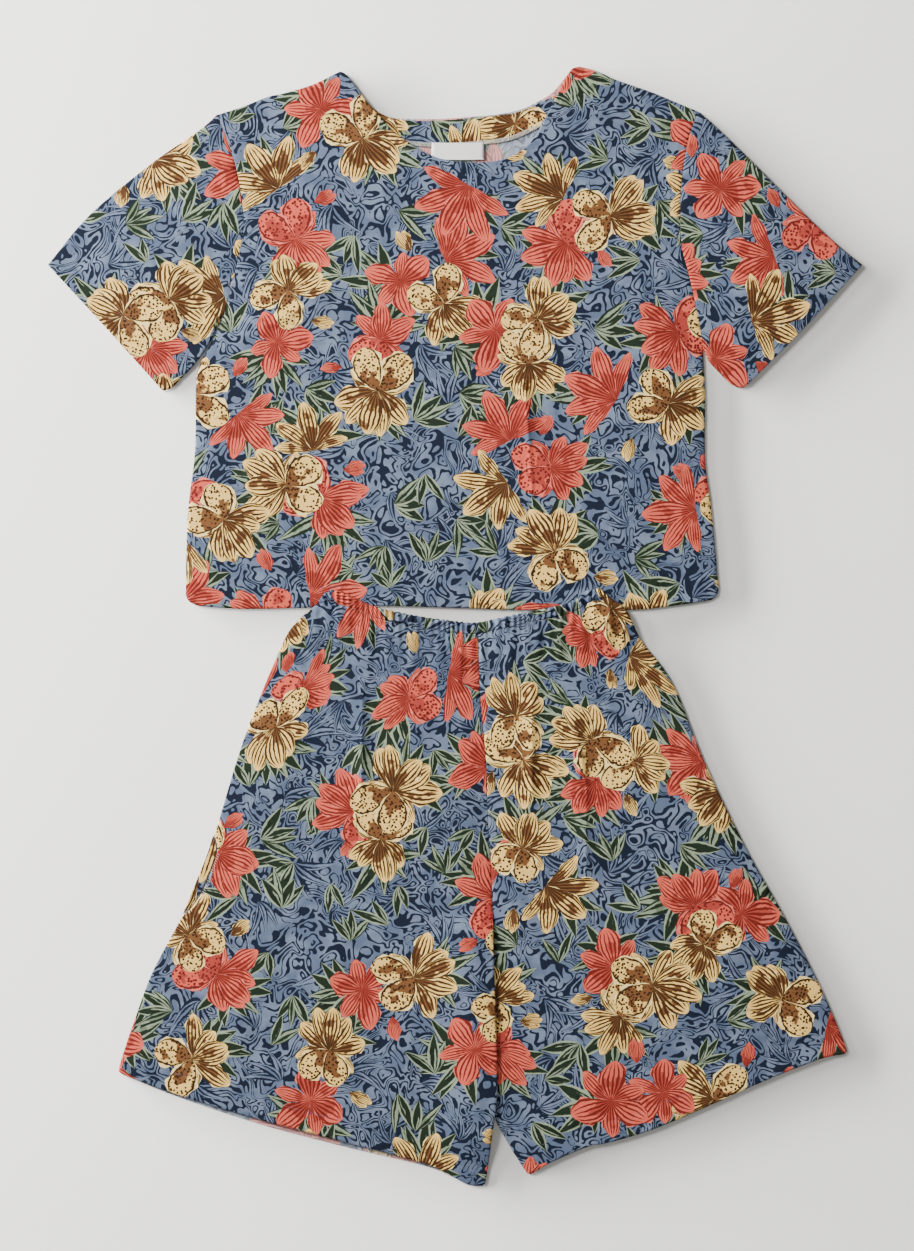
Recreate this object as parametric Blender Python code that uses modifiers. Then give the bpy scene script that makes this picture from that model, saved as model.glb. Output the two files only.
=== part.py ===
"""Lounge set laid flat: a short-sleeved top and a pair of wide-leg shorts with an elastic waist.

Every piece of cloth is an open surface on a grid, given its wall by a Solidify modifier.
Plan positions come from the edges of each piece: a Coons patch blends its four edges.
Heights come from the layers that lie on each other, with soft folds added to the fronts.
All tables are in millimetres: x to the right, y towards the neck, z up from the surface.
"""
import bmesh
import bpy
import numpy as np

MM = 0.001
WALL = 1.2
SEAM = 0.3
# Room between the fine casing and the coarser grid of the legs below it.
CASING_SEAM = 1.0
FRONT_Z = WALL + SEAM
FACING_WALL = 1.0
LABEL_WALL = 1.0

# How far the shorts' waist rises to lie on the top's hem, and the left leg on the right one.
WAIST_LIFT = 3.5
LEG_LIFT = 4.6

# Gathers of the elastic casing, and the wider ones that run out of it into the legs.
GATHERS = 30
GATHER_HEIGHT = 0.75
LEG_GATHER_PITCH = 24
LEG_GATHER_HEIGHT = 0.55

# Edges of the top, each a table of (x, y).
SHOULDER_LEFT = [(-237, 512), (-210, 519), (-165, 540), (-133, 557)]
SHOULDER_RIGHT = [(125, 559), (160, 546), (195, 534), (243, 515)]
NECK_FRONT = [(-133, 557), (-109, 554), (-84, 520), (-56, 491), (-18, 469), (24, 464), (56, 470),
              (77, 486), (94, 511), (119, 555), (125, 559)]
NECK_BACK = [(-133, 557), (-109, 554), (-94, 528), (-72, 513), (-51, 507), (-18, 506), (14, 510),
             (45, 513), (67, 518), (88, 525), (105, 537), (119, 556), (125, 559)]
ARMHOLE_LEFT = [(-237, 512), (-219, 460), (-211, 409), (-215, 375), (-224, 337), (-231, 312)]
ARMHOLE_RIGHT = [(243, 515), (233, 487), (226, 440), (226, 385), (234, 350), (244, 305), (248, 277)]
SIDE_LEFT = [(-231, 312), (-243, 286), (-255, 262), (-259, 240), (-260, 176), (-267, 115), (-269, 47),
             (-268, 28), (-257, 21)]
SIDE_RIGHT = [(248, 277), (250, 230), (250, 168), (256, 120), (262, 57), (263, 34), (256, 27)]
TOP_HEM = [(-257, 21), (-211, 18), (-155, 19), (-72, 21), (5, 19), (70, 17), (174, 17), (224, 22), (256, 27)]

# Edges of the sleeves: fold at the top, fold or seam at the underside, and the open hem.
SLEEVE_LEFT_FOLD = [(-238, 512), (-255, 497), (-305, 462), (-365, 412), (-407, 362)]
SLEEVE_LEFT_UNDER = [(-232, 312), (-245, 284), (-257, 266), (-264, 258), (-274, 249), (-285, 237)]
SLEEVE_LEFT_HEM = [(-285, 237), (-345, 297), (-407, 362)]
SLEEVE_RIGHT_FOLD = [(244, 515), (290, 477), (345, 427), (407, 362)]
SLEEVE_RIGHT_UNDER = [(249, 277), (254, 265), (266, 252), (274, 244), (284, 239), (291, 241)]
SLEEVE_WIDTH = 190
SLEEVE_SEAM = 0.8
SLEEVE_RIGHT_HEM = [(291, 241), (350, 300), (407, 362)]

# Edges of the shorts.
WAIST = [(-130, 34), (-118, 37), (-100, 29), (-75, 19), (-42, 12), (12, 4.5), (45, 9), (76, 16),
         (114, 24), (130, 36), (144, 39)]
CASING_FOOT = [(-138, 23), (-122, 26), (-100, 18), (-75, 8), (-42, 1), (12, -6.5), (45, -2), (76, 5),
               (114, 13), (134, 25), (154, 30)]
LEG_SIDE_LEFT = [(-138, 23), (-156, 7), (-173, -18), (-211, -112), (-241, -209), (-270, -285),
                 (-300, -340), (-313, -372), (-335, -437), (-333, -447)]
ABOVE_POCKET = [(-138, 23), (-156, 7), (-173, -18), (-211, -112), (-240, -207)]
POCKET_MOUTH = [(-240, -207), (-238, -226), (-251, -261), (-262, -279), (-273, -290)]
BELOW_POCKET = [(-273, -290), (-300, -340), (-313, -372), (-335, -437), (-333, -447)]
POCKET_INNER = [(-241, -219), (-240.2, -227), (-252.8, -261), (-261, -274.5)]
POCKET_OUTER = [(-244, -217), (-248, -228), (-258, -253), (-265.5, -271)]
LEG_SIDE_RIGHT = [(154, 30), (171, 17), (186, -13), (218, -57), (250, -136), (291, -221), (328, -287),
                  (364, -357), (390, -418), (389, -427)]
CENTRE_SEAM = [(23, -6.7), (25, -67), (31, -133), (33, -193), (37.5, -273), (38.6, -321)]
INSEAM_LEFT = [(38.6, -321), (41.4, -407), (42.4, -464), (36.7, -512), (31, -553), (27, -559)]
INSEAM_RIGHT = [(38.6, -321), (36, -350), (32, -385), (31, -430), (36, -475), (44, -500), (69, -542),
                (76, -547)]
LEG_HEM_LEFT = [(-333, -447), (-278, -467), (-196, -492), (-109, -515), (-34, -535), (-9, -545), (13, -557),
                (27, -559)]
LEG_HEM_RIGHT = [(76, -547), (98, -536), (146, -519), (195, -504), (250, -481), (308, -454), (364, -432),
                 (389, -427)]
BACK_HEM_DROP = 5.0

# Soft folds: columns x0, y0, x1, y1 (the ridge's ends), height, half width.
TOP_FOLDS = [
    (67, 245, 76, 178, 1.6, 7), (-60, 330, -95, 180, 0.9, 16), (-205, 300, -120, 340, 1.5, 12),
    (215, 290, 140, 345, 1.5, 12), (-190, 130, -150, 230, 1.2, 14), (190, 110, 160, 240, 1.2, 14),
    (-20, 120, -10, 300, 0.8, 20), (120, 430, 170, 380, 1.1, 14), (-150, 460, -120, 400, 1.1, 14),
    (-235, 80, -180, 60, 0.9, 10), (120, 70, 60, 150, 0.8, 16),
]
SLEEVE_FOLDS = [
    (-250, 330, -330, 380, 1.3, 12), (-250, 400, -350, 420, 1.0, 12), (-262, 290, -300, 320, 1.2, 9),
    (262, 320, 330, 350, 1.4, 10), (250, 400, 340, 380, 1.0, 12), (270, 275, 320, 300, 1.2, 9),
]
SHORTS_FOLDS = [
    (-96, -70, -91, -168, 1.9, 8), (77, -50, 76, -180, 1.7, 8), (119, -85, 131, -260, 1.6, 8),
    (-150, -60, -190, -190, 1.0, 14), (170, -60, 220, -200, 1.0, 14), (-40, -60, -30, -210, 1.0, 10),
    (-20, -330, -60, -480, 1.2, 18), (120, -330, 150, -480, 1.2, 18), (-180, -300, -230, -430, 1.2, 18),
    (270, -300, 300, -410, 1.2, 16), (26, -60, 33, -200, 1.2, 5), (-120, -260, -130, -420, 0.9, 20),
]

# How far the fronts stand off the backs away from their seams.
TOP_RISE = 1.0
SHORTS_RISE = 1.1
NECK_RISE = 1.6
SLEEVE_RISE = 1.6
ARMHOLE_RISE = 0.9
# Limits of the rise with its folds, so that the layers stay a few millimetres thick.
FRONT_LIMIT = 3.2
SLEEVE_LIMIT = 2.6

COLOURS = {
    "print": (0.16, 0.24, 0.40), "label": (0.86, 0.86, 0.84), "pocket": (0.80, 0.62, 0.46),
}


def curve(points, steps=12):
    """A smooth line through the points (Catmull-Rom), as a dense polyline."""
    table = np.array(points, dtype=float)
    before = np.vstack([2 * table[0] - table[1], table, 2 * table[-1] - table[-2]])
    t = np.linspace(0, 1, steps, endpoint=False)[:, None]
    parts = []
    for i in range(len(table) - 1):
        p0, p1, p2, p3 = before[i:i + 4]
        parts.append(0.5 * (2 * p1 + (p2 - p0) * t + (2 * p0 - 5 * p1 + 4 * p2 - p3) * t ** 2
                            + (3 * p1 - p0 - 3 * p2 + p3) * t ** 3))
    return np.vstack(parts + [table[-1:]])


def at(line, fractions):
    """Points of a polyline at fractions of its length."""
    run = np.concatenate([[0], np.cumsum(np.hypot(*np.diff(line, axis=0).T))])
    where = np.asarray(fractions) * run[-1]
    return np.column_stack([np.interp(where, run, line[:, 0]), np.interp(where, run, line[:, 1])])


def joined(*sections):
    """One edge made of sections, each (points, number of steps), with equal steps inside a section."""
    parts = [at(curve(points), np.linspace(0, 1, steps + 1)) for points, steps in sections]
    return np.vstack([parts[0]] + [part[1:] for part in parts[1:]])


def fractions_of(edge):
    """Share of the edge's length at each of its points."""
    run = np.concatenate([[0], np.cumsum(np.hypot(*np.diff(edge, axis=0).T))])
    return run / run[-1]


def coons(bottom, top, left, right, u, v):
    """Blend of four edges: bottom and top at fractions u, left and right (upwards) at fractions v."""
    u = np.asarray(u)[None, :, None]
    v = np.asarray(v)[:, None, None]
    across = (1 - v) * bottom[None] + v * top[None]
    along = (1 - u) * left[:, None] + u * right[:, None]
    corners = ((1 - u) * (1 - v) * bottom[0] + u * (1 - v) * bottom[-1]
               + (1 - u) * v * top[0] + u * v * top[-1])
    return across + along - corners


def smooth(x, low, high):
    """0 below low, 1 above high, with a smooth step between."""
    t = np.clip((x - low) / (high - low), 0, 1)
    return t * t * (3 - 2 * t)


def folds(x, y, table):
    """Sum of the folds of a table: a bell across each ridge, fading towards both of its ends."""
    total = np.zeros_like(x)
    for x0, y0, x1, y1, height, half_width in table:
        run = np.hypot(x1 - x0, y1 - y0)
        ux, uy = (x1 - x0) / run, (y1 - y0) / run
        along = ((x - x0) * ux + (y - y0) * uy) / run
        across = (x - x0) * uy - (y - y0) * ux
        fade = smooth(along, -0.25, 0.3) * (1 - smooth(along, 0.7, 1.25))
        total += height * fade * np.exp(-(across / half_width) ** 2)
    return total


def off_edges(u, v, power=8):
    """1 inside a panel and 0 on its side edges, from its own fractions."""
    return (1 - np.abs(2 * u[None, :] - 1) ** power) * np.ones_like(v)[:, None]


def waist_lift(x, y):
    """Height of the shorts above the surface where their waist's corners lie on the top's hem."""
    over_hem = smooth(y, -26, 8)
    at_corners = np.maximum(1 - smooth(x, -66, -20), smooth(x, 25, 64))
    return WAIST_LIFT * over_hem * at_corners


def leg_lift(x, y):
    """Height of the left leg's inner edge above the surface, where it lies on the right leg."""
    near_edge = smooth(x, -40, 27)
    along_leg = (1 - smooth(y, -309, -278)) * smooth(y, -548, -502)
    return LEG_LIFT * near_edge * along_leg


def neck_rise(x, y):
    """Extra height round the neck, where the facing lies between front and back."""
    away = np.hypot((x - 8) / 150, (y - 540) / 112)
    return NECK_RISE * (1 - smooth(away, 0.95, 1.5))


def cloth_object(name, points, wall, material, tube=False):
    """A named piece: a grid of points (rows, columns, xyz in mm) with its wall by Solidify.

    A flat piece's grid is its lower face; a tube's is its outer face, closed along its columns.
    """
    rows, columns = points.shape[:2]
    mesh = bpy.data.meshes.new(name)
    builder = bmesh.new()
    bmesh.ops.create_grid(builder, x_segments=columns - 1, y_segments=rows - 1, size=1)
    builder.to_mesh(mesh)
    mesh.vertices.foreach_set("co", (points * MM).astype(np.float32).ravel())
    mesh.update()
    if tube:
        builder.clear()
        builder.from_mesh(mesh)
        bmesh.ops.remove_doubles(builder, verts=builder.verts, dist=1e-6)
        bmesh.ops.recalc_face_normals(builder, faces=builder.faces)
        builder.to_mesh(mesh)
    builder.free()
    mesh.shade_smooth()
    mesh.materials.append(material)
    piece = bpy.data.objects.new(name, mesh)
    solidify = piece.modifiers.new("wall", "SOLIDIFY")
    solidify.thickness = wall * MM
    solidify.offset = -1.0 if tube else 1.0
    solidify.use_even_offset = True
    return piece


def panel(name, bottom, top, left, right, height, wall, material):
    """A flat-laid panel between four edges; height gives its lower face from x, y and u, v."""
    u = 0.5 * (fractions_of(bottom) + fractions_of(top))
    v = 0.5 * (fractions_of(left) + fractions_of(right))
    plan = coons(bottom, top, left, right, u, v)
    z = height(plan[..., 0], plan[..., 1], u, v)
    return cloth_object(name, np.dstack([plan, z]), wall, material)


def top_body(name, neck, neck_steps, armhole_steps, side_steps, height, material):
    """Front or back of the top: shoulders and neck above, armholes and sides, hem below."""
    top = joined((SHOULDER_LEFT, 4), (neck, neck_steps), (SHOULDER_RIGHT, 4))
    share = (top[:, 0] - top[0, 0]) / (top[-1, 0] - top[0, 0])
    bottom = at(curve(TOP_HEM), share)
    left = joined((ARMHOLE_LEFT, armhole_steps), (SIDE_LEFT, side_steps))[::-1]
    right = joined((ARMHOLE_RIGHT, armhole_steps), (SIDE_RIGHT, side_steps))[::-1]
    return panel(name, bottom, top, left, right, height, WALL, material)


def top_front_height(x, y, u, v):
    """Lower face of the top's front: off the back inside, down on it at sides and hem."""
    inside = off_edges(u, v) * smooth(y, 18, 110)
    raised = np.minimum(TOP_RISE + folds(x, y, TOP_FOLDS), FRONT_LIMIT) * inside
    at_armholes = ARMHOLE_RISE * smooth(y, 286, 330)
    return FRONT_Z + np.maximum(raised, np.maximum(neck_rise(x, y), at_armholes))


def sleeve(name, fold, under, hem, armhole, material):
    """A flattened tube from the armhole to the hem, whose lower side lies on the surface.

    The ring round the tube runs over its upper side, round the fold at the top, back along the
    lower side and round the underside; both bends are half circles as high as the tube.
    """
    rows, across, bend = 10, 11, 3
    away = np.array([np.sign(armhole[0][0]) * SLEEVE_SEAM, 0])
    inner = at(curve(armhole), np.linspace(1, 0, 40)) + away
    outer = at(curve(hem), np.linspace(0, 1, 40))
    t = np.linspace(0, 1, rows)
    under_line = at(curve(under), t)
    fold_line = at(curve(fold), t)
    under_line[0], fold_line[0] = inner[0], inner[-1]
    height = FRONT_Z + ARMHOLE_RISE + WALL
    bulge = 0.5 * height / SLEEVE_WIDTH
    upper = np.linspace(bulge, 1 - bulge, across)
    turn = np.linspace(np.pi / 2, -np.pi / 2, bend + 2)[1:-1]
    ring = np.concatenate([upper, 1 - bulge + bulge * np.cos(turn), upper[::-1],
                           bulge - bulge * np.cos(turn), upper[:1]])
    share = t[:, None, None]
    a = ring[None, :, None]
    ends = (1 - share) * at(inner, ring)[None] + share * at(outer, ring)[None]
    lines = (1 - a) * under_line[:, None] + a * fold_line[:, None]
    corners = ((1 - a) * ((1 - share) * inner[0] + share * outer[0])
               + a * ((1 - share) * inner[-1] + share * outer[-1]))
    plan = ends + lines - corners
    middle = 4 * ring * (1 - ring)
    puff = SLEEVE_RISE * middle ** 0.7 * np.sin(np.pi * t[:, None]) ** 0.6
    creases = folds(plan[..., 0], plan[..., 1], SLEEVE_FOLDS) * smooth(t, 0.05, 0.3)[:, None] * middle
    top = height + np.minimum(puff + creases, SLEEVE_LIMIT)
    side = np.full(top.shape, 0.5 * height)
    z = np.zeros_like(top)
    z[:, :across] = top[:, :across]
    z[:, across:across + bend] = side[:, :bend] * (1 + np.sin(turn))
    z[:, 2 * across + bend:-1] = side[:, :bend] * (1 - np.sin(turn))
    z[:, -1] = z[:, 0]
    return cloth_object(name, np.dstack([plan, z]), WALL, material, tube=True)


def leg(name, outer, inseam, hem, steps, height, material, left_side):
    """Front or back of one leg: casing seam above, side seam, centre seam with inseam, hem below."""
    columns, seam_rows, inseam_rows = steps
    foot = curve(CASING_FOOT)
    centre_share = np.interp(CENTRE_SEAM[0][0], foot[:, 0], fractions_of(foot))
    inner = joined((CENTRE_SEAM, seam_rows), (inseam, inseam_rows))
    inner[:, 0] += SEAM / 2 * (-1 if left_side else 1)
    shares = np.linspace(0, centre_share, columns + 1) if left_side else np.linspace(centre_share, 1, columns + 1)
    top = at(foot, shares) - np.array([0, CASING_SEAM])
    bottom = at(curve(hem), np.linspace(0, 1, columns + 1))
    left, right = (outer, inner) if left_side else (inner, outer)
    left, right = left[::-1].copy(), right[::-1].copy()
    top[-1 if left_side else 0] = inner[0]
    left[-1], right[-1] = top[0], top[-1]
    bottom[0], bottom[-1] = left[0], right[0]
    return panel(name, bottom, top, left, right, height, WALL, material)


def leg_front_height(left_side):
    """Lower face of a leg's front, with the gathers running out of the casing."""
    def height(x, y, u, v):
        below = np.interp(x, *np.array(CASING_FOOT).T) - y
        waves = LEG_GATHER_HEIGHT * (1 + np.sin(2 * np.pi * x / LEG_GATHER_PITCH))
        gathers = waves * smooth(below, 2, 14) * (1 - smooth(below, 30, 75))
        inside = off_edges(u, v, 10) * smooth(below, 0, 25)
        raised = np.minimum(SHORTS_RISE + folds(x, y, SHORTS_FOLDS) + gathers, FRONT_LIMIT) * inside
        lift = waist_lift(x, y) + (leg_lift(x, y) if left_side else 0)
        return FRONT_Z + raised + lift
    return height


def leg_back_height(left_side):
    """Lower face of a leg's back, flat on the surface but for the lifted places."""
    def height(x, y, u, v):
        return waist_lift(x, y) + (leg_lift(x, y) if left_side else 0)
    return height


def waistband(name, columns_a_gather, wave, base, material):
    """Half of the elastic casing: a strip along the waist whose gathers are even waves."""
    columns = GATHERS * columns_a_gather
    u = np.linspace(0, 1, columns + 1)
    upper = at(curve(WAIST), u)
    lower = at(curve(CASING_FOOT), u)
    v = np.array([0, 0.5, 1])[:, None, None]
    plan = (1 - v) * lower[None] + v * upper[None]
    phase = 0.5 - 0.5 * np.cos(2 * np.pi * GATHERS * u)
    z = base + waist_lift(plan[..., 0], plan[..., 1]) + wave * phase[None, :] * np.ones((3, 1))
    return cloth_object(name, np.dstack([plan, z]), WALL, material)


def strip_between(name, outer, inner, rows, columns, base, wall, material):
    """A narrow piece between two lines that run the same way, at one height."""
    u = np.linspace(0, 1, columns + 1)
    v = np.linspace(0, 1, rows + 1)[:, None, None]
    plan = (1 - v) * at(curve(inner), u)[None] + v * at(curve(outer), u)[None]
    z = np.full(plan.shape[:2], base)
    return cloth_object(name, np.dstack([plan, z]), wall, material)


def material(name, colour, roughness=0.85):
    """Principled material of one cloth."""
    made = bpy.data.materials.new(name)
    made.use_nodes = True
    shader = made.node_tree.nodes["Principled BSDF"]
    shader.inputs["Base Color"].default_value = (*colour, 1)
    shader.inputs["Roughness"].default_value = roughness
    shader.inputs["Metallic"].default_value = 0.0
    return made


def flat_on_surface(x, y, u, v):
    """A panel that lies on the surface."""
    return np.zeros_like(x)


def build_top():
    """The five cut pieces of the top, and its label."""
    printed = material("printed_cloth_top", COLOURS["print"])
    label_cloth = material("woven_label", COLOURS["label"], 0.7)
    facing_edge = [(-86, 497), (-50, 483), (-18, 480), (24, 482), (60, 488), (100, 508)]
    facing_neck = [(-96, 528), (-72, 511), (-51, 505), (-18, 504), (14, 508), (45, 511), (67, 516), (105, 533)]
    label_top = [(-23, 477.5), (3, 478), (29, 479)]
    label_foot = [(-23, 467.5), (3, 466), (29, 466.5)]
    return [
        top_body("top_back", NECK_BACK, 12, 10, 5, flat_on_surface, printed),
        top_body("top_front", NECK_FRONT, 14, 10, 11, top_front_height, printed),
        sleeve("top_sleeve_left", SLEEVE_LEFT_FOLD, SLEEVE_LEFT_UNDER, SLEEVE_LEFT_HEM, ARMHOLE_LEFT, printed),
        sleeve("top_sleeve_right", SLEEVE_RIGHT_FOLD, SLEEVE_RIGHT_UNDER, SLEEVE_RIGHT_HEM, ARMHOLE_RIGHT,
               printed),
        strip_between("top_neck_facing", facing_neck, facing_edge, 2, 14, FRONT_Z, FACING_WALL, printed),
        strip_between("top_label", label_top, label_foot, 1, 2, FRONT_Z, LABEL_WALL, label_cloth),
    ]


def build_shorts():
    """The four leg panels, the two halves of the elastic casing, and the pocket strip."""
    printed = material("printed_cloth_shorts", COLOURS["print"])
    pocket_cloth = material("pocket_cloth", COLOURS["pocket"])
    hem_of_back = [(x, y - BACK_HEM_DROP * np.sin(np.pi * (x + 333) / 360)) for x, y in LEG_HEM_LEFT]
    steps = (15, 10, 8)
    side_front = joined((ABOVE_POCKET, 8), (POCKET_MOUTH, 4), (BELOW_POCKET, 6))
    side_back = joined((LEG_SIDE_LEFT, 18))
    side_right = joined((LEG_SIDE_RIGHT, 18))
    return [
        leg("shorts_back_left", side_back, INSEAM_LEFT, hem_of_back, steps, leg_back_height(True), printed,
            True),
        leg("shorts_back_right", side_right, INSEAM_RIGHT, LEG_HEM_RIGHT, steps,
            leg_back_height(False), printed, False),
        leg("shorts_front_left", side_front, INSEAM_LEFT, LEG_HEM_LEFT, steps, leg_front_height(True), printed,
            True),
        leg("shorts_front_right", side_right, INSEAM_RIGHT, LEG_HEM_RIGHT, steps,
            leg_front_height(False), printed, False),
        waistband("shorts_waistband_back", 3, 0.0, 0.0, printed),
        waistband("shorts_waistband_front", 6, 2 * GATHER_HEIGHT, FRONT_Z, printed),
        strip_between("shorts_pocket_left", POCKET_INNER, POCKET_OUTER, 1, 5, FRONT_Z, WALL, pocket_cloth),
    ]


def main():
    """Clear the scene and build both garments in one collection, under one empty."""
    for old in list(bpy.data.objects):
        bpy.data.objects.remove(old, do_unlink=True)
    collection = bpy.data.collections.new("lounge_set")
    bpy.context.scene.collection.children.link(collection)
    holder = bpy.data.objects.new("lounge_set", None)
    collection.objects.link(holder)
    for piece in build_top() + build_shorts():
        collection.objects.link(piece)
        piece.parent = holder


main()
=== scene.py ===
"""Looks of a lounge set laid flat: printed short-sleeved top and wide-leg shorts.

Each piece is cut from printed cloth: its outline and the outlines of the printed petals and
leaves are triangulated together, so the print is part of the sheet. Heights are functions of
the plan position. Tables are in millimetres, in the frame of the CAD: x right, y to the neck.
"""
from functools import partial

import bmesh
import bpy
import numpy as np
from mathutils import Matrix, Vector
from mathutils.geometry import delaunay_2d_cdt


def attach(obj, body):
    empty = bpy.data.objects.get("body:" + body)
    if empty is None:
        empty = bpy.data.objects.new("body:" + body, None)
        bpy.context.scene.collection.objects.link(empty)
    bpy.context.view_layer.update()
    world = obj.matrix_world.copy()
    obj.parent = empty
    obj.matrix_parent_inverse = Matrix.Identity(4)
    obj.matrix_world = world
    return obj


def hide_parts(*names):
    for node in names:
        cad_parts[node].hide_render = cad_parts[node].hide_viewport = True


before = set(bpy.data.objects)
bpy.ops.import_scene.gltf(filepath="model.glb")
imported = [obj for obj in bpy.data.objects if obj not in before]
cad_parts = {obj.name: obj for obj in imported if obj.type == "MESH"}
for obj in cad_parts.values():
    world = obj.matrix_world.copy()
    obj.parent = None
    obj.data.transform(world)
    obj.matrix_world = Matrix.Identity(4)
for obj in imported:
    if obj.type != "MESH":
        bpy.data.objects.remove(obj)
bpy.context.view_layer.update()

MM = 0.001
columns = np.column_stack

# Layers as the CAD stacks them, and the thinner cloth that is shown on them.
WALL = 1.2
FRONT_Z = 1.5
CLOTH = 0.5
LOWEST = 0.05

# Spacing of points along edges and over the fronts of the sheets.
EDGE_STEP = 4.5
FRONT_GRID = 7.0
FRONT_TOP = FRONT_Z + WALL
WAIST_LIFT = 3.5
LEG_LIFT = 4.6
TOP_RISE, SHORTS_RISE, NECK_RISE, SLEEVE_RISE, ARMHOLE_RISE = 1.0, 1.1, 1.6, 1.6, 0.9
HIGHEST_FOLD = 3.2
SLEEVE_HEIGHT = FRONT_Z + ARMHOLE_RISE + WALL

# Outlines of the top.
SHOULDER_LEFT = [(-237, 512), (-212, 520), (-187, 530), (-172, 533), (-142, 542), (-115, 555)]
SHOULDER_RIGHT = [(124, 560), (143, 555), (160, 547), (195, 535), (243, 515)]
NECK_FRONT = [(-115, 555), (-107, 550), (-84, 520), (-56, 491), (-18, 469), (24, 464), (56, 470),
    (77, 486), (94, 516), (114, 554), (124, 560)]
NECK_BACK = [(-115, 555), (-107, 550), (-96, 532), (-81, 517), (-60, 509), (-18, 508), (14, 510),
    (45, 513), (67, 518), (84, 526), (98, 535), (114, 554), (124, 560)]
ARMHOLE_LEFT = [(-237, 512), (-219, 460), (-211, 409), (-215, 375), (-224, 337), (-231, 312)]
ARMHOLE_RIGHT = [(243, 515), (233, 487), (226, 440), (226, 385), (234, 350), (244, 305), (248, 277)]
SIDE_LEFT = [(-231, 312), (-243, 286), (-255, 262), (-259, 240), (-260, 176), (-267, 115), (-269, 47),
    (-268, 28), (-257, 21)]
SIDE_RIGHT = [(248, 277), (250, 230), (250, 168), (256, 120), (262, 57), (263, 34), (256, 27)]
TOP_HEM = [(-257, 21), (-211, 18), (-155, 19), (-72, 21), (5, 19), (70, 17), (174, 17), (224, 22),
    (256, 27)]
SLEEVE_LEFT_FOLD = [(-238, 512), (-255, 497), (-305, 462), (-365, 412), (-407, 362)]
SLEEVE_LEFT_UNDER = [(-232, 312), (-245, 284), (-257, 266), (-264, 258), (-274, 248), (-283, 239),
    (-292, 236)]
SLEEVE_LEFT_HEM = [(-292, 236), (-349, 299), (-407, 362)]
SLEEVE_RIGHT_FOLD = [(244, 515), (263, 498), (300, 462), (345, 417), (380, 384), (407, 362)]
SLEEVE_RIGHT_UNDER = [(249, 277), (254, 265), (266, 252), (274, 244), (284, 239), (291, 241)]
SLEEVE_RIGHT_HEM = [(291, 241), (350, 300), (407, 362)]

# Outlines of the shorts.
WAIST = [(-130, 34), (-118, 37), (-100, 29), (-75, 19), (-42, 12), (12, 4.5), (45, 9), (76, 16),
    (114, 24), (130, 36), (144, 39)]
CASING_FOOT = [(-138, 23), (-122, 26), (-100, 18), (-75, 8), (-42, 1), (12, -6.5), (45, -2), (76, 5),
    (114, 13), (134, 25), (154, 30)]
LEG_SIDE_LEFT = [(-138, 23), (-156, 7), (-173, -18), (-211, -112), (-241, -209), (-270, -285),
    (-300, -340), (-313, -372), (-335, -437), (-333, -447)]
ABOVE_POCKET = LEG_SIDE_LEFT[:4] + [(-240, -207)]
POCKET_MOUTH = [(-240, -207), (-238, -226), (-251, -261), (-262, -279), (-273, -290)]
BELOW_POCKET = [(-273, -290)] + LEG_SIDE_LEFT[6:]
POCKET_INNER = [(-240, -209)] + POCKET_MOUTH[1:4] + [(-271, -287)]
POCKET_OUTER = [(-242, -209), (-248, -228), (-258, -253), (-266, -272), (-272, -287)]
LEG_SIDE_RIGHT = [(154, 30), (171, 17), (186, -13), (218, -57), (250, -136), (291, -221), (328, -287),
    (364, -357), (390, -418), (389, -427)]
CENTRE_SEAM = [(23, -6.7), (25, -67), (31, -133), (33, -193), (37.5, -273), (38.6, -321)]
INSEAM_LEFT = [(38.6, -321), (41.4, -407), (42.4, -464), (36.7, -512), (31, -553), (27, -559)]
INSEAM_RIGHT = [(38.6, -321), (36, -350), (32, -385), (31, -430), (36, -475), (44, -500), (69, -542),
    (76, -547)]
LEG_HEM_LEFT = [(-333, -447), (-278, -467), (-196, -492), (-109, -515), (-34, -535), (-9, -545),
    (13, -557), (27, -559)]
LEG_HEM_RIGHT = [(76, -547), (96, -535), (133, -519), (150, -516), (195, -503), (250, -480),
    (308, -454), (364, -432), (389, -427)]
BACK_HEM_DROP = 5.0

# Soft folds: columns x0, y0, x1, y1 (the ridge's ends), height, half width.
TOP_FOLDS = [
    (67, 245, 76, 178, 1.6, 7), (-60, 330, -95, 180, 0.9, 16), (-205, 300, -120, 340, 1.5, 12),
    (215, 290, 140, 345, 1.5, 12), (-190, 130, -150, 230, 1.2, 14), (190, 110, 160, 240, 1.2, 14),
    (-20, 120, -10, 300, 0.8, 20), (120, 430, 170, 380, 1.1, 14), (-150, 460, -120, 400, 1.1, 14),
    (-235, 80, -180, 60, 0.9, 10), (120, 70, 60, 150, 0.8, 16),
]
SLEEVE_FOLDS = [
    (-250, 330, -330, 380, 1.3, 12), (-250, 400, -350, 420, 1.0, 12), (-262, 290, -300, 320, 1.2, 9),
    (262, 320, 330, 350, 1.4, 10), (250, 400, 340, 380, 1.0, 12), (270, 275, 320, 300, 1.2, 9),
]
SHORTS_FOLDS = [
    (-96, -70, -91, -168, 1.9, 8), (77, -50, 76, -180, 1.7, 8), (119, -85, 131, -260, 1.6, 8),
    (-150, -60, -190, -190, 1.0, 14), (170, -60, 220, -200, 1.0, 14), (-40, -60, -30, -210, 1.0, 10),
    (-20, -330, -60, -480, 1.2, 18), (120, -330, 150, -480, 1.2, 18), (-180, -300, -230, -430, 1.2, 18),
    (270, -300, 300, -410, 1.2, 16), (26, -60, 33, -200, 1.2, 5), (-120, -260, -130, -420, 0.9, 20),
]

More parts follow.
